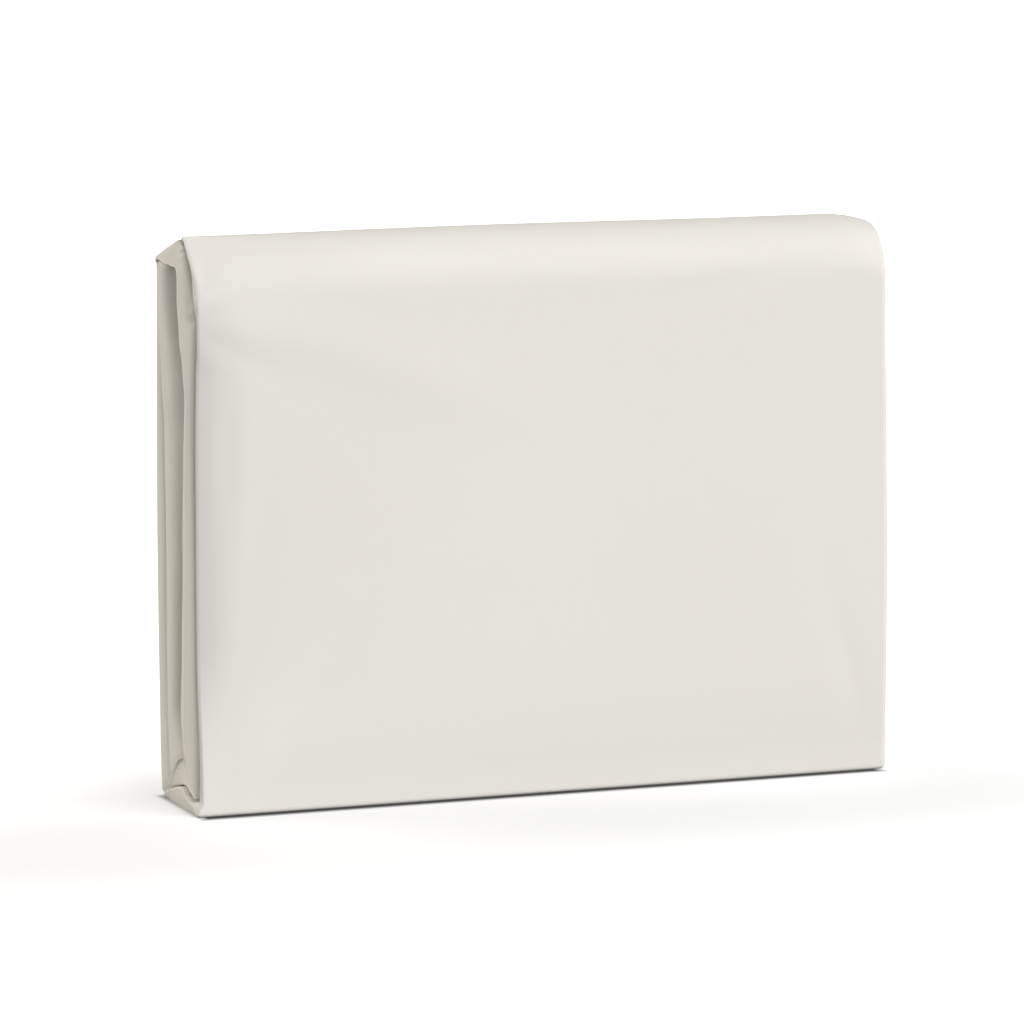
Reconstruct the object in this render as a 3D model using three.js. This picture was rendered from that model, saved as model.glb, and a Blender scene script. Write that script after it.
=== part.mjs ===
// A duvet cover folded for the shelf. The cover is first folded lengthwise into a long soft
// band, and the band is then folded over itself, back and forth, into an upright pack.
// Units are millimetres, +Z is up, and the origin is the middle of the face that it rests on.
// The smooth front panel faces -Y. The folded edges of the plies face -X and +X.

import * as THREE from 'three';
import { mergeVertices } from 'three/addons/utils/BufferGeometryUtils.js';

// Driving dimensions of the pack
const WIDTH = 360;
const DEPTH = 61;
const HEIGHT = 277.5;
const GAP = 0.8; // clear space between neighbouring layers

// Where the front panel leans back over the top
const RIDGE_Y = 22.5; // the ridge, measured back from the front face
const SHOULDER_DROP = 27.5; // how far below the ridge the lean begins
const RIDGE_THICK = 4; // the front panel, flattened where it passes over the ridge
const HEM_Y = 28; // its hem lies just behind the ridge
const HEM_THICK = 1.2;
const HEM_DROP = 0.9;
const HEM_CURVE = 1.5; // the power of the curve from the ridge down to the hem

// The layer that passes over the top, under the front panel's hem
const CROWN_UNDER = 15.2; // its under face, level, this far below the ridge
const BACK_EDGE_DROP = 12.7; // the back edge of the slope, below the ridge
const SLOPE_TOP_Y = 29.6;
const SLOPE_TOP_DROP = 1.8;
const TURN_START = 4; // its under face begins to turn this far behind the turn's centre

// The layer that the pack stands on, and the hairpin fold inside
const SOLE_THICK = 9.2;
const HAIRPIN_Z = 25; // top of the tight inner fold
const CORE_TOP_DROP = 16.2; // the innermost end of the band, tucked under the crown

// Radii of the turns
const TOE_RADIUS = 1.6;
const HEEL_RADIUS = 4;
const CROWN_RADIUS = 4.5;
const LAP_RADIUS = 8;
const TIGHT_RADIUS = 2;

// The upright layers, from the front to the back. At each height the front, third and back
// layers have these thicknesses, and the second layer takes the rest of DEPTH.
const UPRIGHT_COLUMNS = ['z', 'front', 'third', 'back'];
const UPRIGHT = [
  [12, 8.2, 13.0, 12.0],
  [35, 8.2, 20.0, 11.0],
  [70, 8.0, 27.0, 9.8],
  [136, 8.0, 24.2, 9.8],
  [205, 8.0, 18.8, 7.2],
  [250, 7.8, 30.0, 5.4],
];

// The folded ends. A layer's end rolls from its outer face to a crest and on to its inner face.
// crest is the place of the crest, 0 at the outer face and 1 at the inner one. reach is how far
// the crest stands out past the nominal left end, and rollOut and rollIn are the roll's depths.
const END_COLUMNS = ['layer', 'crest', 'reach', 'rollOut', 'rollIn'];
const LEFT_ENDS = [
  ['hem', 0.4, -1.0, 1.0, 1.6],
  ['front', 0.35, -2.8, 1.5, 5.0],
  ['sole', 0.2, 2.6, 1.4, 2.6],
  ['heel', 0.4, 0.9, 2.0, 2.4],
  ['back', 0.15, 1.4, 2.0, 2.6],
  ['crown', 0.9, 1.7, 1.2, 1.2],
  ['tucked', 0.75, 1.2, 4.0, 3.0],
  ['third', 0.47, 1.4, 4.5, 7.0],
  ['hairpin', 0.6, 0.8, 2.5, 4.0],
  ['second', 0.16, 1.2, 2.0, 8.0],
];
const RIGHT_END = { crest: 0.45, reach: 1.5, rollOut: 6, rollIn: 5 };

// How finely the faces are divided
const ACROSS_STEPS = 12;
const ROLL_STEPS = 3;

const named = (columns) => (row) => Object.fromEntries(columns.map((name, i) => [name, row[i]]));
const uprightRows = UPRIGHT.map(named(UPRIGHT_COLUMNS));
const leftEnds = Object.fromEntries(LEFT_ENDS.map(named(END_COLUMNS)).map((row) => [row.layer, row]));

const mix = (a, b, t) => a + (b - a) * t;
const clamp01 = (t) => Math.min(1, Math.max(0, t));
const ease = (t) => clamp01(t) ** 2 * (3 - 2 * clamp01(t));
const easeOver = (t, [from, to]) => ease((t - from) / (to - from));

// A layer's thickness at a height, eased from one row of the table to the next.
function thickness(layer, z) {
  const above = uprightRows.findIndex((row) => row.z >= z);
  if (above === 0) return uprightRows[0][layer];
  if (above < 0) return uprightRows[uprightRows.length - 1][layer];
  const [low, high] = [uprightRows[above - 1], uprightRows[above]];
  return mix(low[layer], high[layer], ease((z - low.z) / (high.z - low.z)));
}

// The y of each upright face at a height, from the front face to the back face.
function faces(z) {
  const frontIn = thickness('front', z);
  const thirdOut = frontIn + GAP;
  const thirdIn = thirdOut + thickness('third', z);
  const backIn = DEPTH - thickness('back', z);
  const secondIn = thirdIn + GAP;
  const secondOut = backIn - GAP;
  return { frontIn, thirdOut, thirdIn, secondIn, secondOut, backIn };
}

// A rung joins the band's outer face to its inner face, in the plane that shows the folds.
const rung = (layer, outer, inner) => ({ layer, outer, inner });

// Rungs along a stretch, evenly spaced. The last one is left to the stretch that follows.
function stretch(steps, at) {
  return Array.from({ length: steps }, (_, i) => at(i / steps));
}

// A point on an ellipse, with its angle in degrees from +Y towards +Z.
function onEllipse(centre, radiusY, radiusZ, degrees) {
  const angle = THREE.MathUtils.degToRad(degrees);
  return [centre[0] + radiusY * Math.cos(angle), centre[1] + radiusZ * Math.sin(angle)];
}
const onCircle = (centre, radius, degrees) => onEllipse(centre, radius, radius, degrees);

// The band's route, from the hem behind the ridge to the end tucked inside the pack.
function bandRungs() {
  const shoulderZ = HEIGHT - SHOULDER_DROP;
  const shoulder = [RIDGE_Y, shoulderZ];
  const top = faces(shoulderZ);
  const foot = faces(0);
  const underZ = HEIGHT - CROWN_UNDER;
  const lapZ = SOLE_THICK + GAP;

  const hem = stretch(2, (t) => rung('hem',
    [mix(HEM_Y, RIDGE_Y, t), HEIGHT - HEM_DROP * (1 - t) ** HEM_CURVE],
    [mix(HEM_Y, RIDGE_Y, t), mix(HEIGHT - HEM_DROP - HEM_THICK, HEIGHT - RIDGE_THICK, t)]));

  const brow = stretch(6, (t) => rung('front',
    onEllipse(shoulder, RIDGE_Y, SHOULDER_DROP, mix(90, 180, t)),
    onEllipse(shoulder, RIDGE_Y - top.frontIn, SHOULDER_DROP - RIDGE_THICK, mix(90, 180, t))));

  const front = stretch(8, (t) => {
    const z = mix(shoulderZ, SOLE_THICK + TIGHT_RADIUS, t);
    return rung('front', [0, mix(shoulderZ, TOE_RADIUS, t)], [faces(z).frontIn, z]);
  });

  const toe = stretch(3, (t) => rung('front',
    onCircle([TOE_RADIUS, TOE_RADIUS], TOE_RADIUS, mix(180, 270, t)),
    onCircle([foot.frontIn + TIGHT_RADIUS, SOLE_THICK + TIGHT_RADIUS], TIGHT_RADIUS, mix(180, 270, t))));

  const sole = stretch(4, (t) => rung('sole',
    [mix(TOE_RADIUS, DEPTH - HEEL_RADIUS, t), 0],
    [mix(foot.frontIn + TIGHT_RADIUS, foot.backIn - TIGHT_RADIUS, t), SOLE_THICK]));

  const heel = stretch(3, (t) => rung('heel',
    onCircle([DEPTH - HEEL_RADIUS, HEEL_RADIUS], HEEL_RADIUS, mix(270, 360, t)),
    onCircle([foot.backIn - TIGHT_RADIUS, SOLE_THICK + TIGHT_RADIUS], TIGHT_RADIUS, mix(270, 360, t))));

  const slope = Math.atan2(BACK_EDGE_DROP - SLOPE_TOP_DROP, DEPTH - SLOPE_TOP_Y);
  const slopeDegrees = THREE.MathUtils.radToDeg(slope);
  const crownCentre = [DEPTH - CROWN_RADIUS,
    HEIGHT - BACK_EDGE_DROP + CROWN_RADIUS * (Math.tan(slope) - 1 / Math.cos(slope))];
  const underCentre = [top.backIn - TIGHT_RADIUS, underZ - TIGHT_RADIUS];
  const back = stretch(8, (t) => {
    const z = mix(SOLE_THICK + TIGHT_RADIUS, underCentre[1], t);
    return rung('back', [DEPTH, mix(HEEL_RADIUS, crownCentre[1], t)], [faces(z).backIn, z]);
  });

  const backEdge = stretch(3, (t) => rung('crown',
    onCircle(crownCentre, CROWN_RADIUS, mix(0, 90 - slopeDegrees, t)),
    onCircle(underCentre, TIGHT_RADIUS, mix(0, 90, t))));

  // Over the top the band rises to the ridge, dips under the hem, and turns down as the third layer
  const slopeStart = onCircle(crownCentre, CROWN_RADIUS, 90 - slopeDegrees);
  const slopeEnd = [SLOPE_TOP_Y, HEIGHT - SLOPE_TOP_DROP];
  const turnCentre = [top.thirdIn + TIGHT_RADIUS, underZ - TIGHT_RADIUS];
  const crown = stretch(3, (t) => rung('crown',
    [mix(slopeStart[0], slopeEnd[0], t), mix(slopeStart[1], slopeEnd[1], t)],
    [mix(underCentre[0], turnCentre[0] + TURN_START, t), underZ]));

  const underHem = stretch(3, (t) => rung('tucked',
    [mix(slopeEnd[0], RIDGE_Y, t), mix(slopeEnd[1], HEIGHT - RIDGE_THICK - GAP, 1 - (1 - t) ** 2)],
    [mix(turnCentre[0] + TURN_START, turnCentre[0], t), underZ]));

  const underBrow = stretch(6, (t) => rung('third',
    onEllipse(shoulder, RIDGE_Y - top.thirdOut, SHOULDER_DROP - RIDGE_THICK - GAP, mix(90, 180, t)),
    onCircle(turnCentre, TIGHT_RADIUS, mix(90, 180, t))));

  const lapCentre = [foot.thirdOut + LAP_RADIUS, lapZ + LAP_RADIUS];
  const third = stretch(8, (t) => {
    const inZ = mix(turnCentre[1], HAIRPIN_Z, t);
    const outZ = mix(shoulderZ, lapCentre[1], t);
    return rung('third', [faces(outZ).thirdOut, outZ], [faces(inZ).thirdIn, inZ]);
  });

  // The hairpin: the band turns back up as the second layer, folded tight on its inner side
  const bend = faces(HAIRPIN_Z);
  const bendCentre = [(bend.thirdIn + bend.secondIn) / 2, HAIRPIN_Z];
  const riseCentre = [foot.secondOut - LAP_RADIUS, lapZ + LAP_RADIUS];
  const onBend = (t) => onCircle(bendCentre, GAP / 2, mix(180, 360, t));
  const lap = stretch(3, (t) => rung('hairpin',
    onCircle(lapCentre, LAP_RADIUS, mix(180, 270, t)), onBend(t / 3)));
  const bed = stretch(2, (t) => rung('hairpin',
    [mix(lapCentre[0], riseCentre[0], t), lapZ], onBend((1 + t) / 3)));
  const rise = stretch(3, (t) => rung('hairpin',
    onCircle(riseCentre, LAP_RADIUS, mix(270, 360, t)), onBend((2 + t) / 3)));

  const endZ = HEIGHT - CORE_TOP_DROP;
  const second = stretch(8, (t) => {
    const inZ = mix(HAIRPIN_Z, endZ - LAP_RADIUS / 2, t);
    const outZ = mix(riseCentre[1], endZ - LAP_RADIUS / 2, t);
    return rung('second', [faces(outZ).secondOut, outZ], [faces(inZ).secondIn, inZ]);
  });

  const end = faces(endZ);
  const endRound = LAP_RADIUS / 2;
  const tuckedEnd = [0, 45, 90].map((degrees) => rung('second',
    onCircle([end.secondOut - endRound, endZ - endRound], endRound, degrees),
    onCircle([end.secondIn + endRound, endZ - endRound], endRound, 180 - degrees)));

  return [...hem, ...brow, ...front, ...toe, ...sole, ...heel, ...back, ...backEdge, ...crown,
    ...underHem, ...underBrow, ...third, ...lap, ...bed, ...rise, ...second, ...tuckedEnd];
}

// The end's shape at each rung, eased over the rungs near a change of layer.
function easedEnds(rungs) {
  const SPREAD = 2;
  return rungs.map((_, i) => {
    const near = rungs.slice(Math.max(0, i - SPREAD), i + SPREAD + 1).map((r) => leftEnds[r.layer]);
    const mean = (key) => near.reduce((sum, row) => sum + row[key], 0) / near.length;
    return Object.fromEntries(END_COLUMNS.slice(1).map((key) => [key, mean(key)]));
  });
}

// A roll from the outer face (0) to the inner face (1): its points' places across the layer,
// and how far each stays short of the crest.
function rollPoints({ crest, rollOut, rollIn }) {
  const quarter = Array.from({ length: ROLL_STEPS + 1 }, (_, i) => (i / ROLL_STEPS) * (Math.PI / 2));
  const toCrest = quarter.map((a) => (
    { across: crest * (1 - Math.cos(a)), short: rollOut * (1 - Math.sin(a)) }));
  const fromCrest = quarter.slice().reverse().map((a) => (
    { across: 1 - (1 - crest) * (1 - Math.cos(a)), short: rollIn * (1 - Math.sin(a)) }));
  return [...toCrest, ...fromCrest.slice(1)];
}

// Rounded corners and the lean of the brow, as smooth shifts of the whole pack. The pairs that
// end in UP are shares of HEIGHT between which a shift sets in.
const LEAN_REACH = 100; // along X from the left end
const LEAN_BACK = 12;
const LEAN_Y = [6, 30]; // whole in front of the first, and none behind the second
const LEAN_UP = [0.8, 1];
const CORNER_REACH = 24; // along X from the right end
const CORNER_DROP = 4;
const CORNER_UP = [0.6, 1];
const RIDGE_SWELL = 0.8; // the ridge rises a little on the way across
const SWELL_X = 140;
const SWELL_REACH = 160;
const SWELL_UP = [0.5, 1];
const RIGHT_TAPER = 2.4; // the right end leans in towards the top
const TAPER_UP = [0.3, 1];
const TAPER_ALONG = [0.5, 1]; // shares of WIDTH
const SIDE_CROWN = 6.5; // the front face falls away towards its left edge
const CROWN_REACH = 34;
const WIDE_CROWN = 4.5; // and a little more over a wider reach
const WIDE_REACH = 150;
const CROWN_Y = [0, 34];
const CROWN_UP = [0, 0.3];
const CROWN_TOP_UP = [0.75, 0.95]; // the fall fades out again, where the lean sets in

function settle([x, y, z]) {
  const up = z / HEIGHT;
  const fromLeft = (reach) => clamp01(1 - x / reach) ** 2;
  const lean = LEAN_BACK * fromLeft(LEAN_REACH) * (1 - easeOver(y, LEAN_Y)) * easeOver(up, LEAN_UP);
  const crownUp = easeOver(up, CROWN_UP) * (1 - easeOver(up, CROWN_TOP_UP));
  const crownDepth = SIDE_CROWN * fromLeft(CROWN_REACH) + WIDE_CROWN * fromLeft(WIDE_REACH);
  const crown = crownDepth * (1 - easeOver(y, CROWN_Y)) * crownUp;
  const cornerShare = clamp01(1 - (WIDTH - x) / CORNER_REACH) ** 2;
  const corner = CORNER_DROP * cornerShare * easeOver(up, CORNER_UP);
  const taper = RIGHT_TAPER * easeOver(up, TAPER_UP) * easeOver(x / WIDTH, TAPER_ALONG);
  const swell = RIDGE_SWELL * ease(1 - Math.abs(x - SWELL_X) / SWELL_REACH) * easeOver(up, SWELL_UP);
  return [x - taper, y + lean + crown, z - corner + swell];
}

// The closed loop of points around the band at one rung: along its outer face, round the right
// end, back along its inner face, and round the left end.
function loopAt({ outer, inner }, leftEnd) {
  const left = rollPoints(leftEnd);
  const right = rollPoints(RIGHT_END);
  const leftX = -leftEnd.reach;
  const rightX = WIDTH + RIGHT_END.reach;
  const place = (x, across) => settle(
    [x, mix(outer[0], inner[0], across), mix(outer[1], inner[1], across)]);
  // Closer together towards the two ends, where the faces bend
  const along = (i) => (1 - Math.cos((Math.PI * i) / ACROSS_STEPS)) / 2;
  const between = (fromX, toX, across) => Array.from({ length: ACROSS_STEPS - 1 },
    (_, i) => place(mix(fromX, toX, along(i + 1)), across));
  return [
    ...between(leftX + leftEnd.rollOut, rightX - RIGHT_END.rollOut, 0),
    ...right.map((p) => place(rightX - p.short, p.across)),
    ...between(rightX - RIGHT_END.rollIn, leftX + leftEnd.rollIn, 1),
    ...left.reverse().map((p) => place(leftX + p.short, p.across)),
  ];
}

// The band as one closed solid: the loops joined in turn, and the two ends of the band closed.
function bandGeometry() {
  const rungs = bandRungs();
  const ends = easedEnds(rungs);
  const loops = rungs.map((r, i) => loopAt(r, ends[i]));
  const around = loops[0].length;
  const index = [];
  for (let i = 0; i + 1 < loops.length; i += 1) {
    for (let j = 0; j < around; j += 1) {
      const [a, b] = [i * around + j, i * around + ((j + 1) % around)];
      const [c, d] = [a + around, b + around];
      index.push(a, c, b, b, c, d);
    }
  }
  // Each end is closed by a strip between the loop's outer and inner halves
  const closeEnd = (start, flip) => {
    const rightCrest = ACROSS_STEPS - 1 + ROLL_STEPS;
    const outerAt = (k) => start + ((rightCrest - k + around) % around);
    const innerAt = (k) => start + ((rightCrest + k) % around);
    for (let k = 0; k < around / 2; k += 1) {
      const [a, b, c, d] = [outerAt(k), outerAt(k + 1), innerAt(k), innerAt(k + 1)];
      const triangles = [[a, b, d], [a, d, c]].filter((t) => new Set(t).size === 3);
      triangles.forEach((t) => index.push(...(flip ? [t[0], t[2], t[1]] : t)));
    }
  };
  closeEnd(0, true);
  closeEnd((loops.length - 1) * around, false);

  const geometry = new THREE.BufferGeometry();
  geometry.setAttribute('position', new THREE.Float32BufferAttribute(loops.flat(2), 3));
  geometry.setIndex(index);
  const merged = mergeVertices(geometry, 1e-3);
  merged.computeBoundingBox();
  const { min, max } = merged.boundingBox;
  merged.translate(-(min.x + max.x) / 2, -(min.y + max.y) / 2, -min.z);
  merged.computeVertexNormals();
  return merged;
}

const cotton = new THREE.MeshStandardMaterial({ color: 0xe4e0d8, roughness: 0.82, metalness: 0 });

const pack = new THREE.Group();
const cover = new THREE.Mesh(bandGeometry(), cotton);
cover.name = 'duvet_cover';
pack.add(cover);

export default pack;
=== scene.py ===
# %% [markdown]
# A folded duvet cover, standing on its long edge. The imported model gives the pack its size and
# its folds. This lesson lays the cloth over those folds: a fine surface with crisp folded
# edges, soft creases and a cotton finish, then a pale studio floor, lights and a camera.

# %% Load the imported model
import math

import bpy
import numpy as np
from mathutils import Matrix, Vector


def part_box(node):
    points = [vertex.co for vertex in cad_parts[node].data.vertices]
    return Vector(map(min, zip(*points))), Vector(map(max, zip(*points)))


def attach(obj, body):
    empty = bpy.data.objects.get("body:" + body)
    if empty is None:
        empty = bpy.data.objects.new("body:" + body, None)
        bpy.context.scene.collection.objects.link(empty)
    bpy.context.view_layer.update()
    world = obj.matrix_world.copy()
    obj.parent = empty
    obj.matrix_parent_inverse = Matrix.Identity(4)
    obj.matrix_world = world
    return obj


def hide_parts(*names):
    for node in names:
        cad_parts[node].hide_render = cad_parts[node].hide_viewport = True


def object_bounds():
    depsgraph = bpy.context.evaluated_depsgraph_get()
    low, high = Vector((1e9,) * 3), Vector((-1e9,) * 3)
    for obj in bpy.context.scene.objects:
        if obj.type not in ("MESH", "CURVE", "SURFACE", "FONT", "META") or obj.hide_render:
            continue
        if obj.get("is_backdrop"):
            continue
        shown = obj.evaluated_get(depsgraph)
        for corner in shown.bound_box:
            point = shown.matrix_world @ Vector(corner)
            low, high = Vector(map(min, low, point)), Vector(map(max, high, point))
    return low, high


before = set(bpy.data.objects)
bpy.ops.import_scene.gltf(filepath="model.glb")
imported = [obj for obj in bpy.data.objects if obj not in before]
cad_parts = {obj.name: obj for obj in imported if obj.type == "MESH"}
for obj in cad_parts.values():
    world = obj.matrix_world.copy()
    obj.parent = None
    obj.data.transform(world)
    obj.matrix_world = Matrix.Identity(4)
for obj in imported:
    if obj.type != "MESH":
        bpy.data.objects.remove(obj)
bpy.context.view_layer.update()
low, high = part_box("duvet_cover")
print("the packed cover measures", [round(1000 * v) for v in (high - low)], "mm")

# %% [markdown]
# The real cover was first folded lengthwise into a long soft band of many plies, and the band
# was then folded back and forth into a pack. It could be draped by a simulation, but pressed
# folds are set by hand, so the band's route is worked out here from a few sizes. Every size is
# in millimetres until the mesh is made.

# %% Driving sizes of the pack
MM = 0.001
WIDTH = 360.0
DEPTH = 61.0
HEIGHT = 277.5
GAP = 0.8           # clear space between neighbouring layers
LEFT_PLANE = -178.65  # where the nominal left end lies in the frame

RIDGE_Y = 22.5       # the ridge, measured back from the front face
SHOULDER_DROP = 27.5  # how far below the ridge the front panel begins to lean back
RIDGE_THICK = 4.0
HEM_Y = 28.0         # the front panel's hem, just behind the ridge
HEM_THICK = 1.0
HEM_DROP = 0.7
HEM_CURVE = 1.5      # 1 would run straight down to the hem, more keeps near the ridge first
HEM_SLANT = 0.4      # how far the hem's lower edge lies in front of its upper edge
CROWN_UNDER = 15.2   # the under face of the layer that passes over the top, at its front
CROWN_WEDGE = 1.9    # how much higher that face is at the back
TURN_START = 4.0     # how far behind its tight turn that face becomes level
BACK_EDGE_DROP = 12.7
SLOPE_TOP_Y = 28.6
SLOPE_TOP_DROP = 1.8
HAIRPIN_Z = 25.0     # top of the tight fold inside
CORE_TOP_DROP = 16.2
TOE_RADIUS = 2.0
TOE_TOP = 5.5        # where the front panel begins to turn under
TOE_IN_RADIUS = 0.6
TOE_STRAIGHT = 0.3   # the share of the toe that is still upright
HEEL_RADIUS = 4.0
CROWN_RADIUS = 4.5
CROWN_IN_RADIUS = 0.7  # the tight inner side of the same turn
LAP_RADIUS = 3.0     # the inner fold turns under at the front and up again at the back
RISE_RADIUS = 6.0
TIGHT_RADIUS = 2.0

# The upright layers at each height: how far the front face stands back, and the thicknesses of
# the front, third and back layers. The second layer takes the rest of DEPTH.
UPRIGHT_COLUMNS = ("z", "face", "front", "third", "back")
UPRIGHT = (
    (2, 1.4, 8.0, 11.0, 12.0),
    (12, 1.3, 8.2, 13.0, 12.0),
    (25, 0.8, 8.2, 18.0, 11.4),
    (35, 0.45, 8.2, 23.5, 11.0),
    (48, 0.2, 8.1, 28.0, 10.4),
    (78, 0.0, 8.0, 27.3, 9.6),
    (136, 0.0, 8.0, 24.2, 9.8),
    (170, 0.0, 8.0, 21.8, 8.6),
    (205, 0.0, 8.0, 18.8, 7.2),
    (218, 0.0, 8.0, 21.6, 6.6),
    (231, 0.0, 7.9, 26.8, 6.0),
    (250, 0.0, 7.8, 30.0, 5.4),
)
# The top of the layer that the pack stands on, from the front to the back
SOLE_TOP = ((7, 6.0), (11, 6.4), (16, 8.4), (21, 11.0), (27, 11.2), (34, 9.8), (40, 8.0), (48, 5.4))
upright = dict(zip(UPRIGHT_COLUMNS, np.array(UPRIGHT, float).T))
sole_top = np.array(SOLE_TOP, float).T


def ease(t):
    t = np.clip(t, 0, 1)
    return t * t * (3 - 2 * t)


def ease_over(value, start, end):
    """0 up to the start, 1 from the end on, and a soft change between them."""
    return ease((value - start) / (end - start))


def mix(a, b, t):
    return a + (b - a) * t


def thickness(layer, z):
    """A layer's thickness at a height, eased from one row of the table to the next."""
    rows = upright["z"]
    i = int(np.clip(np.searchsorted(rows, z) - 1, 0, len(rows) - 2))
    part_way = ease_over(z, rows[i], rows[i + 1])
    return mix(upright[layer][i], upright[layer][i + 1], part_way)


def sole_height(y):
    """The height of the sole's upper face, eased from one row of its table to the next."""
    i = int(np.clip(np.searchsorted(sole_top[0], y) - 1, 0, len(SOLE_TOP) - 2))
    (y0, y1), (z0, z1) = sole_top[:, i:i + 2]
    return mix(z0, z1, ease_over(y, y0, y1))


def faces(z):
    """The y of each upright face at a height, from the front face to the back face."""
    front_in = thickness("front", z)
    third_out = front_in + GAP
    third_in = third_out + thickness("third", z)
    back_in = DEPTH - thickness("back", z)
    return dict(front_in=front_in, third_out=third_out, third_in=third_in,
                second_in=third_in + GAP, second_out=back_in - GAP, back_in=back_in)


half_way = faces(HEIGHT / 2)
print("the second layer is", round(half_way["second_out"] - half_way["second_in"], 1),
      "mm thick at half height")

# %% [markdown]
# A rung joins the band's outer face to its inner face. Rungs along the route, close together
# where the cloth turns, give the section that the folded end shows. A curve with a bevel could
# carry the band too, but rungs let each layer have its own thickness.

# %% The band's route
# How many rungs each stretch of the route has, in the order of the route
STEPS = dict(hem=5, brow=34, front=66, toe=8, sole=26, heel=16, back=50, back_edge=12, crown=16,
             under_hem=8, under_brow=26, third=92, lap=12, bed=18, rise=16, second=46, tucked_end=6)
ROUTE = list(STEPS)
LAST_PLACE = 0.999   # the last rung counts as just inside the last stretch


def on_ellipse(centre, radius_y, radius_z, degrees):
    a = math.radians(degrees)
    return (centre[0] + radius_y * math.cos(a), centre[1] + radius_z * math.sin(a))


def on_circle(centre, radius, degrees):
    return on_ellipse(centre, radius, radius, degrees)


def between(a, b, t):
    return tuple(mix(p, q, t) for p, q in zip(a, b))


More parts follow.
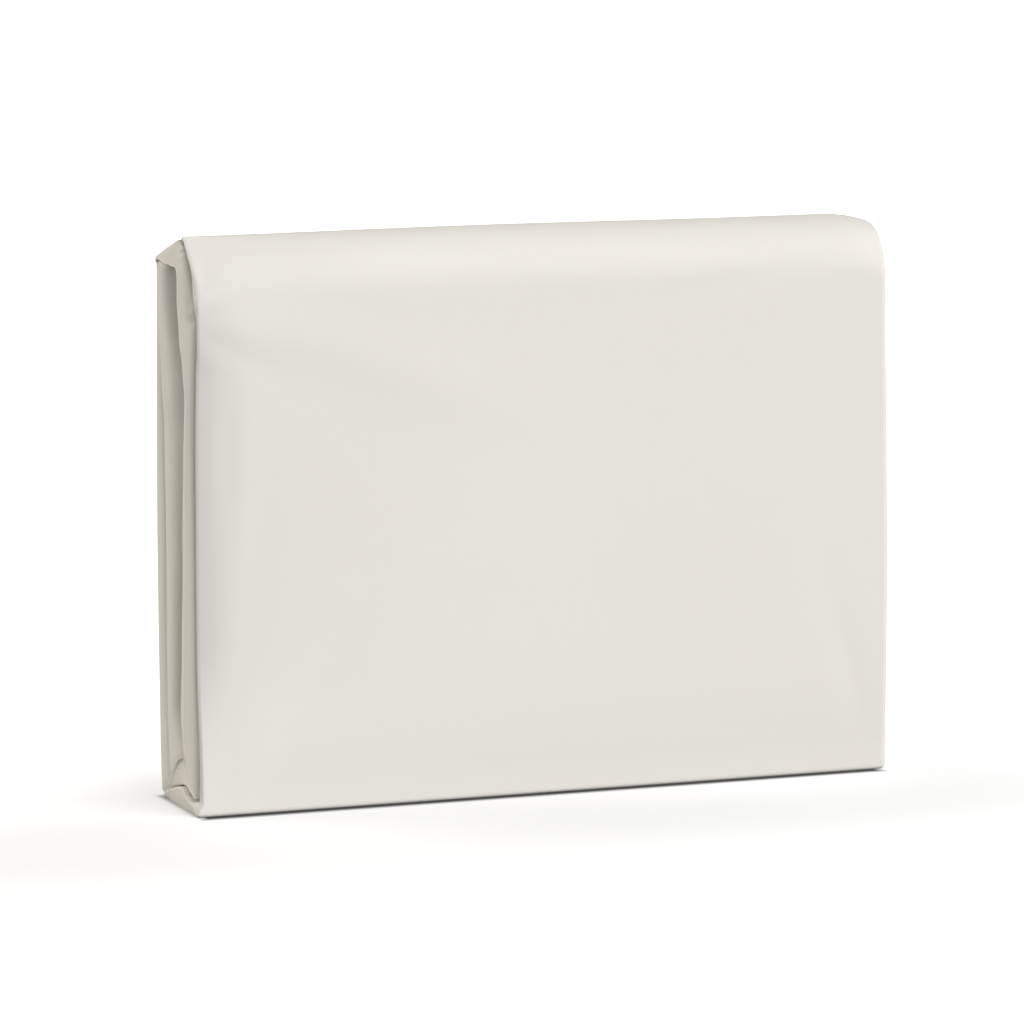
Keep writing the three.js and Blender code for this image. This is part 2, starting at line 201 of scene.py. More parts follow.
def band_route():
    """For each stretch, a function of t from 0 to 1 that gives a rung's outer and inner point."""
    shoulder_z = HEIGHT - SHOULDER_DROP
    shoulder = (RIDGE_Y, shoulder_z)
    top, foot, bend = faces(shoulder_z), faces(0), faces(HAIRPIN_Z)
    under_z = HEIGHT - CROWN_UNDER
    slope = math.atan2(BACK_EDGE_DROP - SLOPE_TOP_DROP, DEPTH - SLOPE_TOP_Y)
    crown_at = (DEPTH - CROWN_RADIUS,
                HEIGHT - BACK_EDGE_DROP + CROWN_RADIUS * (math.tan(slope) - 1 / math.cos(slope)))
    under_at = (top["back_in"] - CROWN_IN_RADIUS, under_z + CROWN_WEDGE - CROWN_IN_RADIUS)
    turn_at = (top["third_in"] + TIGHT_RADIUS, under_z - TIGHT_RADIUS)
    slope_start = on_circle(crown_at, CROWN_RADIUS, 90 - math.degrees(slope))
    slope_end = (SLOPE_TOP_Y, HEIGHT - SLOPE_TOP_DROP)
    toe_y = thickness("face", 0) + TOE_RADIUS
    toe_in_y = foot["front_in"] + TOE_IN_RADIUS
    toe_in = (toe_in_y, sole_height(toe_in_y) + TOE_IN_RADIUS)
    heel_in_y = foot["back_in"] - TIGHT_RADIUS
    heel_in = (heel_in_y, sole_height(heel_in_y) + TIGHT_RADIUS)
    lap_y = foot["third_out"] + LAP_RADIUS
    rise_y = foot["second_out"] - RISE_RADIUS
    lap_at = (lap_y, sole_height(lap_y) + GAP + LAP_RADIUS)
    rise_at = (rise_y, sole_height(rise_y) + GAP + RISE_RADIUS)
    bend_at = ((bend["third_in"] + bend["second_in"]) / 2, HAIRPIN_Z)
    end_z = HEIGHT - CORE_TOP_DROP
    end, end_round = faces(end_z), LAP_RADIUS / 2
    level_y = turn_at[0] + TURN_START
    second_end = (end["second_out"] - end_round, end_z + CROWN_WEDGE - end_round)
    second_end_in = (end["second_in"] + end_round, end_z - end_round)

    def on_bend(third, t):
        """A point on the hairpin's inner bend, which three stretches share in thirds."""
        return on_circle(bend_at, GAP / 2, mix(180, 360, (third + t) / 3))

    def upright_rung(outer_face, inner_face, outer_z, inner_z):
        return lambda t: ((faces(mix(*outer_z, t))[outer_face], mix(*outer_z, t)),
                          (faces(mix(*inner_z, t))[inner_face], mix(*inner_z, t)))

    def front_rung(t):
        z = mix(shoulder_z, TOE_TOP, t)
        in_z = mix(shoulder_z, toe_in[1], t)
        return (thickness("face", z), z), (faces(in_z)["front_in"], in_z)

    def toe_rung(t):
        straight = 1 - min(t / TOE_STRAIGHT, 1)
        turned = (max(t, TOE_STRAIGHT) - TOE_STRAIGHT) / (1 - TOE_STRAIGHT)
        out_y, out_z = on_circle((toe_y, TOE_RADIUS), TOE_RADIUS, mix(180, 270, turned))
        out_z = out_z + straight * (TOE_TOP - TOE_RADIUS)
        return (out_y, out_z), on_circle(toe_in, TOE_IN_RADIUS, mix(180, 270, t))

    def back_rung(t):
        z = mix(heel_in[1], under_at[1], t)
        return (DEPTH, mix(HEEL_RADIUS, crown_at[1], t)), (faces(z)["back_in"], z)

    def sole_rung(t):
        y = mix(toe_in[0], heel_in[0], t)
        return (mix(toe_y, DEPTH - HEEL_RADIUS, t), 0), (y, sole_height(y))

    def bed_rung(t):
        y = mix(lap_y, rise_y, t)
        return (y, sole_height(y) + GAP), on_bend(1, t)

    return dict(
        hem=lambda t: ((mix(HEM_Y, RIDGE_Y, t), HEIGHT - HEM_DROP * (1 - t) ** HEM_CURVE),
                       (mix(HEM_Y - HEM_SLANT, RIDGE_Y, t),
                        mix(HEIGHT - HEM_DROP - HEM_THICK, HEIGHT - RIDGE_THICK, t))),
        brow=lambda t: (on_ellipse(shoulder, RIDGE_Y, SHOULDER_DROP, mix(90, 180, t)),
                        on_ellipse(shoulder, RIDGE_Y - top["front_in"], SHOULDER_DROP - RIDGE_THICK,
                                   mix(90, 180, t))),
        front=front_rung,
        toe=toe_rung,
        sole=sole_rung,
        heel=lambda t: (on_circle((DEPTH - HEEL_RADIUS, HEEL_RADIUS), HEEL_RADIUS, mix(270, 360, t)),
                        on_circle(heel_in, TIGHT_RADIUS, mix(270, 360, t))),
        back=back_rung,
        back_edge=lambda t: (on_circle(crown_at, CROWN_RADIUS, mix(0, 90 - math.degrees(slope), t)),
                             on_circle(under_at, CROWN_IN_RADIUS, mix(0, 90, t))),
        crown=lambda t: (between(slope_start, slope_end, t),
                         (mix(under_at[0], level_y, t), under_z + CROWN_WEDGE * (1 - t))),
        under_hem=lambda t: ((mix(slope_end[0], RIDGE_Y, t),
                              mix(slope_end[1], HEIGHT - RIDGE_THICK - GAP, t)),
                             (mix(level_y, turn_at[0], t), under_z)),
        under_brow=lambda t: (on_ellipse(shoulder, RIDGE_Y - top["third_out"],
                                         SHOULDER_DROP - RIDGE_THICK - GAP, mix(90, 180, t)),
                              on_circle(turn_at, TIGHT_RADIUS, mix(90, 180, t))),
        third=upright_rung("third_out", "third_in", (shoulder_z, lap_at[1]), (turn_at[1], HAIRPIN_Z)),
        lap=lambda t: (on_circle(lap_at, LAP_RADIUS, mix(180, 270, t)), on_bend(0, t)),
        bed=bed_rung,
        rise=lambda t: (on_circle(rise_at, RISE_RADIUS, mix(270, 360, t)), on_bend(2, t)),
        second=upright_rung("second_out", "second_in", (rise_at[1], second_end[1]),
                            (HAIRPIN_Z, second_end_in[1])),
        tucked_end=lambda t: (on_circle(second_end, end_round, mix(0, 90, t)),
                              on_circle(second_end_in, end_round, mix(180, 90, t))),
    )


route = band_route()
places, outer, inner = [], [], []
for index, name in enumerate(ROUTE):
    steps = STEPS[name]
    last = name == ROUTE[-1]
    for i in range(steps + last):
        out, inn = route[name](i / steps)
        places.append(index + i / steps * (LAST_PLACE if last else 1))
        outer.append(out)
        inner.append(inn)
places, outer, inner = np.array(places), np.array(outer, float), np.array(inner, float)

# %% [markdown]
# The folded long side of the band makes the end of the pack. Each layer's end rolls from its
# outer face to a crest and on to its inner face. A table says how, stretch by stretch. Two rows
# close together make a step, as where the ear of one fold lies over the next.

# %% The folded ends
# crest: its place from the outer face (0) to the inner face (1). reach: how far it stands out
# past the nominal left end. roll_out and roll_in: how deep the roll goes on each side of it.
# full_out and full_in: 1 is a straight slope, 2 a round roll and 4 a nearly flat end.
# bead: the height of the narrow rounded rim along the crest.
END_COLUMNS = ("stretch", "at", "crest", "reach", "roll_out", "roll_in", "full_out", "full_in", "bead")
LEFT_ENDS = (
    ("hem", 0.0, 0.4, -1.0, 1.0, 1.6, 2.0, 2.0, 0.0),
    ("brow", 0.0, 0.15, -0.8, 1.2, 2.0, 2.2, 2.0, 0.3),
    ("brow", 0.5, 0.15, -1.3, 1.4, 3.0, 2.2, 2.0, 0.5),
    ("brow", 0.74, 0.15, -1.3, 1.4, 4.0, 2.2, 2.0, 0.4),
    ("brow", 0.86, 0.25, -1.0, 2.6, 5.0, 2.0, 2.0, 0.1),
    ("front", 0.025, 0.25, -0.6, 2.4, 5.0, 2.0, 2.0, 0.0),
    ("front", 0.04, 0.12, -2.0, 1.0, 5.0, 2.4, 2.0, 0.5),
    ("front", 0.12, 0.15, -1.8, 1.1, 5.0, 2.4, 2.0, 0.5),
    ("front", 0.3, 0.15, -1.2, 1.1, 5.0, 2.4, 2.0, 0.5),
    ("front", 0.75, 0.15, -1.2, 1.1, 5.0, 2.4, 2.0, 0.5),
    ("front", 0.96, 0.2, -0.8, 1.2, 4.0, 2.4, 2.0, 0.4),
    ("toe", 0.0, 0.4, -0.5, 1.2, 3.0, 2.2, 2.0, 0.3),
    ("toe", 0.12, 0.6, 1.2, 1.0, 1.2, 2.5, 2.5, 0.2),
    ("toe", 0.5, 0.7, 1.9, 0.9, 1.2, 3.0, 3.0, 0.1),
    ("sole", 0.04, 0.9, 2.6, 2.0, 1.0, 1.4, 3.0, 0.1),
    ("sole", 0.2, 0.9, 3.0, 2.6, 1.0, 1.4, 3.0, 0.1),
    ("sole", 0.56, 0.9, 2.4, 2.6, 1.0, 1.4, 3.0, 0.1),
    ("sole", 0.77, 0.9, 1.7, 2.6, 1.0, 1.4, 3.0, 0.1),
    ("sole", 0.92, 0.9, 1.3, 2.6, 1.0, 1.4, 3.0, 0.1),
    ("heel", 0.0, 0.85, 1.1, 2.2, 1.2, 1.6, 3.0, 0.1),
    ("heel", 0.46, 0.7, 1.1, 1.8, 1.2, 2.0, 3.0, 0.1),
    ("heel", 0.54, 0.15, -1.2, 1.6, 2.0, 2.0, 2.0, 0.0),
    ("back", 0.0, 0.15, 0.3, 1.8, 2.4, 2.0, 2.0, 0.0),
    ("back", 0.08, 0.15, 0.9, 2.0, 2.6, 2.0, 1.8, 0.0),
    ("back", 0.18, 0.15, 1.1, 2.0, 2.6, 2.0, 1.8, 0.0),
    ("back", 0.3, 0.15, 1.45, 2.0, 2.6, 2.0, 1.8, 0.0),
    ("back", 0.5, 0.15, 1.75, 2.0, 2.6, 2.0, 1.8, 0.0),
    ("back", 0.76, 0.15, 1.4, 2.0, 2.6, 2.0, 1.8, 0.0),
    ("back", 0.9, 0.08, 0.9, 2.0, 2.6, 2.0, 1.8, 0.0),
    ("back", 1.0, 0.08, 0.7, 2.0, 2.6, 2.0, 1.8, 0.0),
    ("back_edge", 0.1, 0.4, 1.6, 1.2, 1.0, 3.0, 2.0, 0.0),
    ("back_edge", 0.5, 0.93, 2.0, 1.2, 0.8, 3.0, 2.0, 0.2),
    ("crown", 0.6, 0.95, 1.9, 1.2, 0.8, 3.0, 2.0, 0.2),
    ("under_hem", 0.5, 0.94, 1.7, 2.4, 0.8, 2.4, 2.0, 0.2),
    ("under_brow", 0.44, 0.92, 1.5, 2.8, 1.2, 2.4, 2.0, 0.2),
    ("under_brow", 0.64, 0.52, 1.4, 3.4, 6.0, 2.6, 2.0, 0.2),
    ("third", 0.05, 0.5, 1.4, 4.4, 8.0, 1.7, 2.0, 0.3),
    ("third", 0.13, 0.45, 1.4, 4.6, 8.0, 1.7, 2.0, 0.3),
    ("third", 0.19, 0.38, 1.3, 4.8, 8.0, 1.7, 2.0, 0.3),
    ("third", 0.24, 0.33, 1.2, 5.0, 8.0, 1.7, 2.0, 0.3),
    ("third", 0.39, 0.4, 1.2, 5.0, 8.0, 1.7, 2.0, 0.3),
    ("third", 0.53, 0.42, 1.1, 5.0, 8.0, 1.7, 2.0, 0.3),
    ("third", 0.66, 0.42, 1.0, 4.8, 8.0, 1.7, 2.0, 0.3),
    ("third", 0.78, 0.44, 1.1, 4.4, 8.0, 1.7, 2.0, 0.3),
    ("third", 0.91, 0.49, 1.1, 4.0, 6.0, 1.7, 2.0, 0.3),
    ("lap", 0.3, 0.6, 1.0, 2.0, 2.2, 3.0, 2.5, 0.1),
    ("lap", 0.55, 0.6, 0.3, 1.6, 2.0, 3.0, 2.5, 0.0),
    ("bed", 0.5, 0.5, 1.0, 1.4, 1.6, 3.0, 3.0, 0.0),
    ("rise", 0.33, 0.6, 2.6, 1.4, 1.6, 3.0, 3.0, 0.2),
    ("rise", 0.38, 0.12, -1.4, 2.4, 7.0, 2.0, 1.8, 0.0),
    ("second", 0.1, 0.16, 0.8, 2.0, 7.0, 2.0, 2.3, 0.1),
    ("second", 0.4, 0.16, 0.9, 2.0, 9.0, 2.0, 2.4, 0.1),
    ("second", 0.7, 0.18, 1.2, 2.0, 15.0, 2.0, 2.1, 0.1),
    ("second", 0.86, 0.42, 3.5, 2.6, 12.0, 2.0, 2.4, 0.0),
    ("tucked_end", 1.0, 0.42, 3.5, 2.6, 11.0, 2.0, 2.4, 0.0),
)
RIGHT_END = dict(crest=0.45, reach=1.5, roll_out=3.0, roll_in=5.0, full_out=2.0, full_in=2.0)
BEAD_HALF = 0.7   # half the width of a bead

row_places = [ROUTE.index(r[0]) + r[1] for r in LEFT_ENDS]
left = {column: np.interp(places, row_places, [r[k] for r in LEFT_ENDS])
        for k, column in enumerate(END_COLUMNS) if k > 1}
print("the left end stands out up to", round(left["reach"].max(), 1), "mm past its nominal plane")

# %% [markdown]
# At every rung the cloth runs across the outer face, round the right end, back across the
# inner face and round the left end. Laid side by side, these loops are the band's surface: a
# flat grid of points, folded into place all at once.

# %% From rungs to a grid of points
COLUMNS = 72        # across each face
LEFT_ROLL = 12      # points on each side of the crest
RIGHT_ROLL = 6
LEFT_CROWDING, RIGHT_CROWDING = 1.6, 1.0  # above 1, the points gather towards the crest
END_CROWDING = 0.8  # how much closer the columns lie near both ends

rungs = len(places)
share = np.arange(1, COLUMNS) / COLUMNS
across_face = share - END_CROWDING * np.sin(2 * np.pi * share) / (2 * np.pi)
thick = np.linalg.norm(inner - outer, axis=1)


def roll(end, half, crowd):
    """A roll from the outer to the inner face.

    It gives the places across the band, and how far each stays short of the crest."""
    a = (1 - (1 - np.arange(half + 1) / half) ** crowd) * np.pi / 2
    away = np.cos(a)      # 1 at a face, 0 at the crest
    crest, roll_out, roll_in, full_out, full_in = (
        end[k][:, None] for k in ("crest", "roll_out", "roll_in", "full_out", "full_in"))
    before = roll_out * (1 - (1 - away ** full_out) ** (1 / full_out))
    after = roll_in * (1 - (1 - away[::-1] ** full_in) ** (1 / full_in))
    places_before, places_after = crest * (1 - away), 1 - (1 - crest) * (1 - away[::-1])
    return np.hstack([places_before, places_after[:, 1:]]), np.hstack([before, after[:, 1:]])


left_across, left_short = roll(left, LEFT_ROLL, LEFT_CROWDING)
from_crest = (left_across - left["crest"][:, None]) * thick[:, None]
left_short = left_short - left["bead"][:, None] * np.exp(-(from_crest / BEAD_HALF) ** 2)
right = {column: np.full(rungs, value) for column, value in RIGHT_END.items()}
right_across, right_short = roll(right, RIGHT_ROLL, RIGHT_CROWDING)
left_x = -left["reach"][:, None]
right_x = WIDTH + RIGHT_END["reach"]
out_from, out_to = left_x + left["roll_out"][:, None], right_x - RIGHT_END["roll_out"]
in_from, in_to = right_x - RIGHT_END["roll_in"], left_x + left["roll_in"][:, None]
x = np.hstack([mix(out_from, out_to, across_face), right_x - right_short,
               mix(in_from, in_to, across_face), (left_x + left_short)[:, ::-1]])
across = np.hstack([np.zeros((rungs, COLUMNS - 1)), right_across,
                    np.ones((rungs, COLUMNS - 1)), left_across[:, ::-1]])
y, z = (mix(outer[:, k, None], inner[:, k, None], across) for k in (0, 1))
print("a grid of", x.shape, "points")

# %% [markdown]
# Gravity and handling then shift the whole pack a little: its top left corner leans back, its
# top right corner is rounded, and the front falls away towards its left edge. A lattice could
# do this. A few smooth functions of place do it with less to keep in step.

# %% Settle the pack
# Each change reaches so far in from an edge, in millimetres. The pairs named UP and ALONG are
# the shares of the height and of the width between which it grows from nothing to its full size.
LEAN_REACH, LEAN_BACK = 100.0, 12.0
LEAN_Y, LEAN_UP = (6.0, 30.0), (0.8, 1.0)
SIDE_CROWN, CROWN_REACH, CROWN_DEPTH = 4.5, 24.0, 12.0
WIDE_CROWN, WIDE_REACH = 3.4, 130.0
CROWN_UP, CROWN_TOP_UP = (0.0, 0.3), (0.75, 0.95)
CORNER_REACH, CORNER_DROP, CORNER_UP = 24.0, 4.0, (0.6, 1.0)
RIGHT_TAPER, TAPER_UP, TAPER_ALONG = 2.4, (0.3, 1.0), (0.5, 1.0)
RIDGE_SWELL, SWELL_X, SWELL_REACH, SWELL_UP = 0.8, 140.0, 160.0, (0.5, 1.0)


def near(distance, reach):
    """1 at an edge, and 0 from the reach on."""
    return np.clip(1 - distance / reach, 0, 1)


def settle(x, y, z):
    up = z / HEIGHT
    lean = LEAN_BACK * near(x, LEAN_REACH) ** 2 * ease_over(up, *LEAN_UP) * (1 - ease_over(y, *LEAN_Y))
    crown = SIDE_CROWN * near(x, CROWN_REACH) ** 2 + WIDE_CROWN * near(x, WIDE_REACH) ** 2
    crown = crown * near(y, CROWN_DEPTH) * ease_over(up, *CROWN_UP) * (1 - ease_over(up, *CROWN_TOP_UP))
    corner = CORNER_DROP * near(WIDTH - x, CORNER_REACH) ** 2 * ease_over(up, *CORNER_UP)
    taper = RIGHT_TAPER * ease_over(up, *TAPER_UP) * ease_over(x / WIDTH, *TAPER_ALONG)
    swell = RIDGE_SWELL * ease(near(np.abs(x - SWELL_X), SWELL_REACH)) * ease_over(up, *SWELL_UP)
    return x - taper, y + lean + crown, z - corner + swell


sx, sy, sz = settle(x, y, z)
print("the top left corner leans back", round(float((sy - y).max()), 1), "mm")

# %% [markdown]
# Next come the main creases, each a soft trough (depth above 0) or ridge (below 0) along a
# short line. They sit where the front layer is pinched at the top left, with a few long shallow
# ones where the pack has been handled. A sculpted surface could show them too, but with a small
# table each keeps its own length, width and lean, in degrees.

# %% Creases placed one by one
CREASE_COLUMNS = ("x", "z", "lean", "half_length", "half_width", "depth")
CREASES = (
    (1.5, 247, 35, 6, 1.6, -1.0),
    (3.5, 240, 15, 9, 2.4, 1.1),
    (7.0, 262, 70, 12, 4.0, 0.5),
    (10.0, 228, -25, 26, 6.0, 0.7),
    (16.0, 176, 88, 40, 5.0, 0.35),
    (24.0, 96, 82, 60, 8.0, 0.5),
    (52.0, 46, 60, 60, 9.0, 0.4),
    (96.0, 214, -20, 70, 14.0, -0.6),
    (300.0, 252, 10, 60, 5.0, 0.4),
    (338.0, 60, -75, 40, 6.0, 0.35),
)
CREASE_Y = (1.0, 10.0)   # creases fade out between these depths, behind the front layer


def crease_depth(x, z):
    total = np.zeros_like(x)
    for row in CREASES:
        c = dict(zip(CREASE_COLUMNS, row))
        turn = np.radians(c["lean"])
        along = ((x - c["x"]) * np.cos(turn) + (z - c["z"]) * np.sin(turn)) / c["half_length"]
        aside = ((z - c["z"]) * np.cos(turn) - (x - c["x"]) * np.sin(turn)) / c["half_width"]
        total = total + c["depth"] * np.exp(-along ** 2 - aside ** 2)
    return total


pressed = crease_depth(x, z) * (1 - ease_over(y, *CREASE_Y))
sy = sy + pressed
print("the creases press in up to", round(float(pressed.max()), 2), "mm")

# %% [markdown]
# The folded end is pinched in a few spots, where the cloth was drawn together: small dents
# (depth above 0) and knots (below 0) near the top, and two long shallow hollows lower down.

# %% Pinches in the folded end
PINCH_COLUMNS = ("y", "z", "half_y", "half_z", "depth")
PINCHES = (
    (15.8, 245.0, 1.8, 1.8, 2.2),
    (15.0, 241.6, 3.0, 1.2, -1.1),
    (13.6, 238.0, 2.6, 1.5, 2.4),
    (23.2, 270.0, 2.2, 1.1, 1.3),
    (44.0, 214.0, 3.0, 24.0, 0.4),
    (20.0, 118.0, 3.0, 30.0, 0.3),
)
PINCH_X = (-2.0, 6.0)  # pinches fade out between these places, inwards from the end
pinched = np.zeros_like(x)
for row in PINCHES:
    p = dict(zip(PINCH_COLUMNS, row))
    nearness = ((sy - p["y"]) / p["half_y"]) ** 2 + ((z - p["z"]) / p["half_z"]) ** 2
    pinched = pinched + p["depth"] * np.exp(-nearness)
pinched = pinched * (1 - ease_over(x, *PINCH_X))
sx = sx + pinched
print("the pinches reach in up to", round(float(pinched.max()), 1), "mm")
points = np.stack([sx + LEFT_PLANE, sy - DEPTH / 2, sz], axis=-1)

# %% [markdown]
# The loops are joined into faces, and the band's two ends are closed by a strip from the outer
# to the inner half. The cloth keeps its own flat pattern, measured along the surface, so that
# the weave follows every fold.

# %% Make the mesh
around = x.shape[1]


def band_faces():
    grid = np.arange(rungs * around).reshape(rungs, around)
    a, b = grid[:-1], np.roll(grid, -1, axis=1)[:-1]
    c, d = grid[1:], np.roll(grid, -1, axis=1)[1:]
    quads = np.stack([a, c, d, b], axis=-1).reshape(-1, 4).tolist()
    right_crest = COLUMNS - 1 + RIGHT_ROLL
    for start, flip in ((0, True), ((rungs - 1) * around, False)):
        for k in range(around // 2):
            face = [start + (right_crest - k) % around, start + (right_crest - k - 1) % around,
                    start + (right_crest + k + 1) % around, start + (right_crest + k) % around]
            face = list(dict.fromkeys(face))
            quads.append(face[::-1] if flip else face)
    return quads


def cloth_pattern(mesh):
    """A UV map in metres: u runs round the band, v along its route."""
    steps = np.linalg.norm(np.diff(np.concatenate([points, points[:, :1]], axis=1), axis=1), axis=2)
    u = np.concatenate([np.zeros((rungs, 1)), np.cumsum(steps, axis=1)], axis=1) * MM
    middle = points[:, COLUMNS // 2]
    v = np.concatenate([[0], np.cumsum(np.linalg.norm(np.diff(middle, axis=0), axis=1))]) * MM
    vertex = np.zeros(len(mesh.loops), np.int32)
    mesh.loops.foreach_get("vertex_index", vertex)
    row, column = vertex // around, vertex % around
    face_of = np.repeat(np.arange(len(mesh.polygons)), [p.loop_total for p in mesh.polygons])
    first_column = np.full(len(mesh.polygons), around, np.int64)
    np.minimum.at(first_column, face_of, column)
    wraps = np.zeros(len(mesh.polygons), bool)
    np.logical_or.at(wraps, face_of, column == around - 1)
    column = np.where(wraps[face_of] & (first_column[face_of] == 0) & (column == 0), around, column)
    uv = np.stack([u[row, column], v[row]], axis=-1).astype(np.float32)
    mesh.uv_layers.new(name="cloth").data.foreach_set("uv", uv.ravel())


mesh = bpy.data.meshes.new("cover_cloth")
mesh.from_pydata((points.reshape(-1, 3) * MM).tolist(), [], band_faces())
mesh.update()
cloth_pattern(mesh)
cover = bpy.data.objects.new("cover_cloth", mesh)
bpy.context.scene.collection.objects.link(cover)
bpy.ops.object.select_all(action="DESELECT")
cover.select_set(True)
bpy.context.view_layer.objects.active = cover
bpy.ops.object.shade_smooth()
print("the cloth has", sum(len(p.vertices) - 2 for p in mesh.polygons), "triangles")

# %% [markdown]
# The finishes below are built from small steps: sums of two values, and soft changes from one
# value to another. Two helpers add such steps to a finish and join them up.

# %% Helpers for finishes
def add_math(tree, kind, operation, *sources):
    """Add a sum to a finish. Each source is another step's result or a fixed value."""
    node = tree.nodes.new(kind)
    node.operation = operation
    for socket, source in zip(node.inputs, sources):
        if isinstance(source, bpy.types.NodeSocket):
            tree.links.new(source, socket)
        else:
            socket.default_value = source
    return node


def add_range(tree, source, start, end, low, high, shape="SMOOTHSTEP"):
    """Add a change from low to high, made while the source goes from start to end."""
    node = tree.nodes.new("ShaderNodeMapRange")
    node.interpolation_type = shape
    for name, value in {"From Min": start, "From Max": end, "To Min": low, "To Max": high}.items():
        node.inputs[name].default_value = value
    tree.links.new(source, node.inputs["Value"])
    return node.outputs["Result"]


# %% [markdown]
# The cover is plain cotton in a warm off-white, woven so finely that it looks smooth at arm's
# length. Its finish is a soft matt with a faint sheen. Two crossing wave patterns on the cloth's
# own UV map make a very slight bump, about 400 ribs to the metre. That is coarser than real
# threads, which would be too fine to draw. A slow noise pattern shifts the colour a little.

# %% The cotton finish
COTTON = (0.80, 0.775, 0.725, 1)
COTTON_SHADE = (0.775, 0.75, 0.695, 1)
COTTON_SURFACE = {"Roughness": 0.78, "Specular IOR Level": 0.3, "Sheen Weight": 0.15,
                  "Sheen Roughness": 0.5}
RIB_WAVES = {"Scale": 125.0, "Distortion": 0.4, "Detail": 1.0}
RIB_BUMP = {"Strength": 0.05, "Distance": 0.0001}
TONE_NOISE = {"Scale": 9.0, "Detail": 3.0}
MIX_FIRST, MIX_SECOND, MIX_RESULT = 6, 7, 2   # the colour sockets of a mix


def set_inputs(node, values):
    for name, value in values.items():
        node.inputs[name].default_value = value


def cotton_finish():
    finish = bpy.data.materials.new("washed_cotton")
    finish.use_nodes = True
    tree = finish.node_tree
    nodes, links = tree.nodes, tree.links
    shader = nodes["Principled BSDF"]
    set_inputs(shader, COTTON_SURFACE)
    pattern = nodes.new("ShaderNodeUVMap")
    pattern.uv_map = "cloth"

    def ribs(direction):
        wave = nodes.new("ShaderNodeTexWave")
        wave.wave_type = "BANDS"
        wave.bands_direction = direction
        set_inputs(wave, RIB_WAVES)
        links.new(pattern.outputs["UV"], wave.inputs["Vector"])
        return wave.outputs["Fac"]

    weave = add_math(tree, "ShaderNodeMath", "ADD", ribs("X"), ribs("Y"))
    bump = nodes.new("ShaderNodeBump")
    set_inputs(bump, RIB_BUMP)
    links.new(weave.outputs["Value"], bump.inputs["Height"])
    links.new(bump.outputs["Normal"], shader.inputs["Normal"])

    place = nodes.new("ShaderNodeTexCoord")
    tone = nodes.new("ShaderNodeTexNoise")
    set_inputs(tone, TONE_NOISE)
    links.new(place.outputs["Object"], tone.inputs["Vector"])
    colour = nodes.new("ShaderNodeMix")
    colour.data_type = "RGBA"
    colour.inputs[MIX_FIRST].default_value = COTTON
    colour.inputs[MIX_SECOND].default_value = COTTON_SHADE
    links.new(tone.outputs["Fac"], colour.inputs[0])
    links.new(colour.outputs[MIX_RESULT], shader.inputs["Base Color"])
    return finish


cover.data.materials.append(cotton_finish())
print("the cover wears", cover.data.materials[0].name)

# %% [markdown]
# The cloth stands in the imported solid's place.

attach(cover, "root")
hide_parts("duvet_cover")

# %% [markdown]
# The floor is a pale sweep that reaches far past the view. It is a plane marked as stage, so it
# isn't part of the object. A curved backdrop would do too, but a plane has nothing to place. It
# sends no light back onto the cover.

# %% Studio floor
FLOOR_SIZE = 60.0
FLOOR_WHITE = 0.8
FLOOR_SURFACE = {"Roughness": 1.0, "Specular IOR Level": 0.0, "Emission Color": (1, 1, 1, 1)}
bpy.ops.object.select_all(action="DESELECT")
bpy.ops.mesh.primitive_plane_add(size=FLOOR_SIZE, location=(0, 0, 0))
floor = bpy.context.object
floor.name = "floor"
floor.visible_diffuse = False
floor.visible_glossy = False
floor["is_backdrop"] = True
print("the floor is", round(floor.dimensions.x), "m wide")

# %% [markdown]
# The floor has a glow of its own, which keeps it white as a lit sheet of paper is. The glow is
# weaker in a wide soft patch at the front left, a painted shade where the photograph has its
# shade, and a thin dark edge, a painted contact shadow, is laid into the floor's colour all round
# the cover's foot. Shadows from the lights alone would be the plainer way. This painted shade and
# shadow are set for this cover and place, and only fit them.

# %% The floor's soft shade
# A painted shade: the floor's glow is weaker in a patch at the cover's front left, and full far away.
GLOW_NEAR, GLOW_FAR, GLOW_FADE = 0.28, 0.95, (0.3, 2.9)
SHADE_CENTRE, SHADE_SIZE = (-0.14, -0.09, 0.0), (0.3, 0.11, 1.0)
COVER_HALF = (0.1745, 0.0305, 1.0)   # half the cover's foot, in metres
# A painted contact shadow: the floor's colour is dark at the cover's foot and pale again a few
# millimetres out.
CONTACT_SHADOW_DARK, CONTACT_SHADOW_FADE = 0.06, (0.001, 0.007)


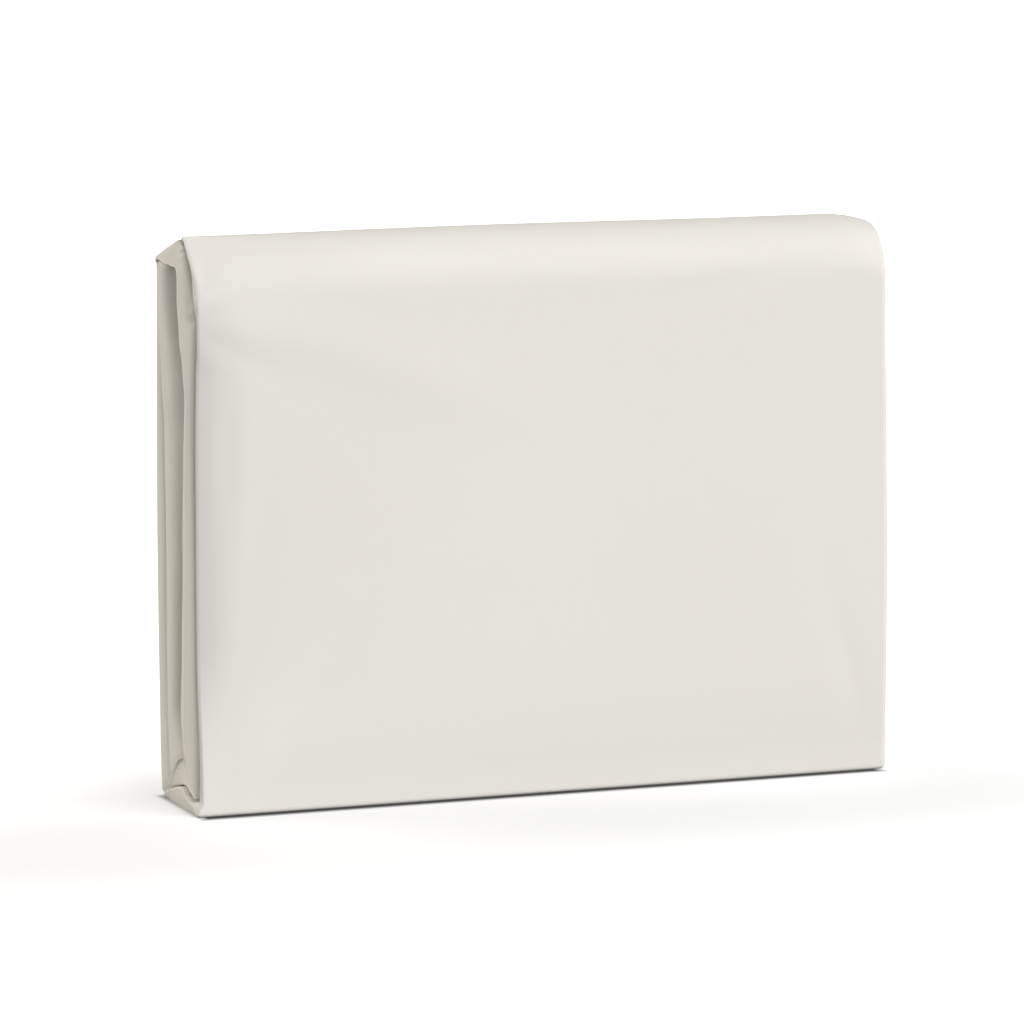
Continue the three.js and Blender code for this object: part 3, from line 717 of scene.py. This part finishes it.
# The floor's finish, with a painted shade in its glow and a painted contact shadow in its colour.
def floor_with_painted_shade():
    painted_shadow_floor = bpy.data.materials.new("floor_with_painted_shade")
    painted_shadow_floor.use_nodes = True
    painted_shadow_floor.cycles.emission_sampling = "NONE"
    tree = painted_shadow_floor.node_tree
    nodes, links = tree.nodes, tree.links
    shader = nodes["Principled BSDF"]
    set_inputs(shader, FLOOR_SURFACE)
    place = nodes.new("ShaderNodeTexCoord")

    # The painted shade: the glow grows with the distance from this patch's centre.
    patch = nodes.new("ShaderNodeMapping")
    patch.vector_type = "TEXTURE"
    set_inputs(patch, {"Location": SHADE_CENTRE, "Scale": SHADE_SIZE})
    links.new(place.outputs["Object"], patch.inputs["Vector"])
    distance = add_math(tree, "ShaderNodeVectorMath", "LENGTH", patch.outputs["Vector"])
    glow = add_range(tree, distance.outputs["Value"], *GLOW_FADE, GLOW_NEAR / FLOOR_WHITE,
                     GLOW_FAR / FLOOR_WHITE)

    # The painted contact shadow: the floor's colour and glow darken towards the edge of the cover's
    # foot.
    across = add_math(tree, "ShaderNodeVectorMath", "ABSOLUTE", place.outputs["Object"])
    past_edge = add_math(tree, "ShaderNodeVectorMath", "SUBTRACT", across.outputs["Vector"], COVER_HALF)
    sides = nodes.new("ShaderNodeSeparateXYZ")
    links.new(past_edge.outputs["Vector"], sides.inputs["Vector"])
    farther = add_math(tree, "ShaderNodeMath", "MAXIMUM", sides.outputs["X"], sides.outputs["Y"])
    painted_contact_shadow = add_range(tree, farther.outputs["Value"], *CONTACT_SHADOW_FADE, CONTACT_SHADOW_DARK, FLOOR_WHITE,
                        shape="LINEAR")
    strength = add_math(tree, "ShaderNodeMath", "MULTIPLY", glow, painted_contact_shadow)
    links.new(painted_contact_shadow, shader.inputs["Base Color"])
    links.new(strength.outputs["Value"], shader.inputs["Emission Strength"])
    return painted_shadow_floor


floor.data.materials.append(floor_with_painted_shade())
print("the floor's colour goes from", CONTACT_SHADOW_DARK, "at the cover's foot to", FLOOR_WHITE)

# %% [markdown]
# Product light is wide and soft. One very broad light stands at the front right, a little above
# level, and a weaker, slightly warm one behind the folded end on the left. Round the horizon the
# studio is white, and above and below that it is dim, so that the folded end, which is turned
# away from the broad light, lies in a soft shade. Area lamps would do too, but suns light
# every part of the pack alike.

# %% Lights
def broad_light(name, direction, strength, degrees, colour=(1, 1, 1)):
    data = bpy.data.lights.new(name, "SUN")
    data.energy = strength
    data.angle = math.radians(degrees)
    data.color = colour
    lamp = bpy.data.objects.new(name, data)
    bpy.context.scene.collection.objects.link(lamp)
    lamp.rotation_euler = (-Vector(direction)).to_track_quat("-Z", "Y").to_euler()


broad_light("key_light", direction=(0.45, -0.82, 0.34), strength=3.74, degrees=75)
broad_light("fill_light", direction=(-0.72, 0.58, 0.30), strength=2.4, degrees=50,
            colour=(1.0, 0.96, 0.84))

# %% [markdown]
# The world is the studio's walls: a white band at the horizon, and dim above and below it.

# %% The studio round the cover
# Heights are 0 at the horizon, 1 straight up and -1 straight down.
HORIZON_WHITE, SKY_DIM, GROUND_DIM, UNDER_DIM = 1.0, 0.10, 0.2, 0.05
SKY_HEIGHTS, GROUND_HEIGHTS, UNDER_HEIGHTS = (0.09, 0.16), (-0.06, 0.0), (-0.7, -0.1)
world = bpy.data.worlds.new("studio")
bpy.context.scene.world = world
world.use_nodes = True
sky = world.node_tree
sky_direction = sky.nodes.new("ShaderNodeTexCoord")
split = sky.nodes.new("ShaderNodeSeparateXYZ")
sky.links.new(sky_direction.outputs["Generated"], split.inputs[0])
brightness = add_range(sky, split.outputs["Z"], *SKY_HEIGHTS, HORIZON_WHITE, SKY_DIM)
for heights, dim in ((GROUND_HEIGHTS, GROUND_DIM), (UNDER_HEIGHTS, UNDER_DIM)):
    lower = add_range(sky, split.outputs["Z"], *heights, dim, 1.0)
    brightness = add_math(sky, "ShaderNodeMath", "MULTIPLY", brightness, lower).outputs["Value"]
background = sky.nodes["Background"]
background.inputs["Color"].default_value = (1, 1, 1, 1)
sky.links.new(brightness, background.inputs["Strength"])
print("the studio is white at the horizon and", SKY_DIM, "as bright overhead")

# %% [markdown]
# The camera stands a little to the left of the front and slightly above, as in the photograph.
# A long lens keeps the edges almost parallel. The colours are shown plainly, without a film
# look, so that the pale floor stays white.

# %% Camera
LOOK_AT = Vector((0.00135, -0.00016, 0.13885))
CAMERA_TURN = 21.64      # degrees to the left of the front
CAMERA_RISE = 7.86       # degrees above level
CAMERA_DISTANCE = 3.058  # metres
FOCAL_PIXELS = 6231.6
PICTURE = 1024           # pixels along a side of the picture
LOOK_AT_PIXEL = (528.1, 504.5)
SENSOR_WIDTH = 36.0      # millimetres
FARTHEST = 100.0         # metres, past which the camera sees nothing

turn, rise = math.radians(CAMERA_TURN), math.radians(CAMERA_RISE)
ahead = Vector((math.sin(turn) * math.cos(rise), math.cos(turn) * math.cos(rise), -math.sin(rise)))
camera = bpy.data.objects.new("camera", bpy.data.cameras.new("camera"))
bpy.context.scene.collection.objects.link(camera)
camera.location = LOOK_AT - ahead * CAMERA_DISTANCE
camera.rotation_euler = ahead.to_track_quat("-Z", "Y").to_euler()
camera.data.sensor_width = SENSOR_WIDTH
camera.data.lens = FOCAL_PIXELS / PICTURE * SENSOR_WIDTH
camera.data.shift_x = (PICTURE / 2 - LOOK_AT_PIXEL[0]) / PICTURE
camera.data.shift_y = (LOOK_AT_PIXEL[1] - PICTURE / 2) / PICTURE
camera.data.clip_end = FARTHEST
bpy.context.scene.camera = camera
bpy.context.scene.view_settings.view_transform = "Standard"
print("the lens is", round(camera.data.lens), "mm long")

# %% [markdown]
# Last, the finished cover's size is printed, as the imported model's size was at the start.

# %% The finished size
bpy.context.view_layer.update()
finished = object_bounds()
print("the finished cover measures", [round(1000 * v, 1) for v in finished[1] - finished[0]], "mm")
